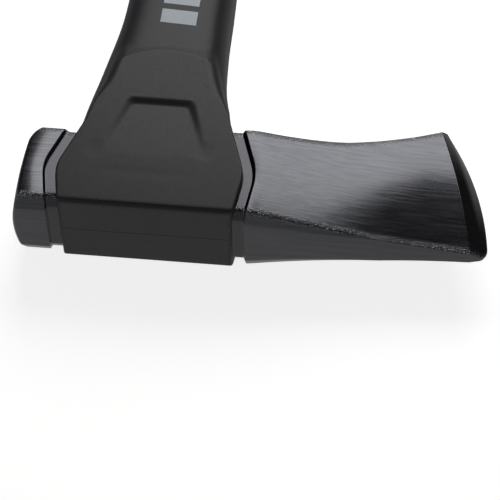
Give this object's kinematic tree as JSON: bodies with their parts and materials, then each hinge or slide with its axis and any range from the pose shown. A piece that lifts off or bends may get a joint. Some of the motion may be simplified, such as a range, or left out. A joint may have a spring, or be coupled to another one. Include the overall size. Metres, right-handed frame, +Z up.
{
  "type": "splitting maul",
  "caption": "Splitting maul lying on its side: forged wedge blade and striking poll, black moulded shroud round the eye, long straight composite handle with soft grip and flared butt.",
  "frame": {"origin": "under the middle of the eye, on the flat lower cheek of the shroud that the maul lies on", "axes": "+X from the poll to the cutting edge, +Y along the handle from the head to the butt, +Z up through the head's thickness"},
  "size_m": [0.2064, 0.8557, 0.05],
  "materials": {
    "lacquered_steel": "forged and ground steel under clear black lacquer, glossy, with fine grinding lines along the head",
    "glass_fibre": "pultruded glass fibre in resin, straight fibres, satin",
    "epoxy": "cured filled epoxy, amber brown, smooth",
    "nylon": "glass-filled nylon, black, fine spark-eroded mould texture",
    "soft_grip": "soft thermoplastic elastomer, black, matt, moulded ribs",
    "nylon_cap": "glass-filled nylon, black, satin"
  },
  "bodies": {
    "root": {"steel_head": "lacquered_steel", "core_rod": "glass_fibre", "eye_epoxy": "epoxy", "handle_jacket": "nylon", "grip_sleeve": "soft_grip", "butt_cap": "nylon_cap"}
  },
  "joints": []
}
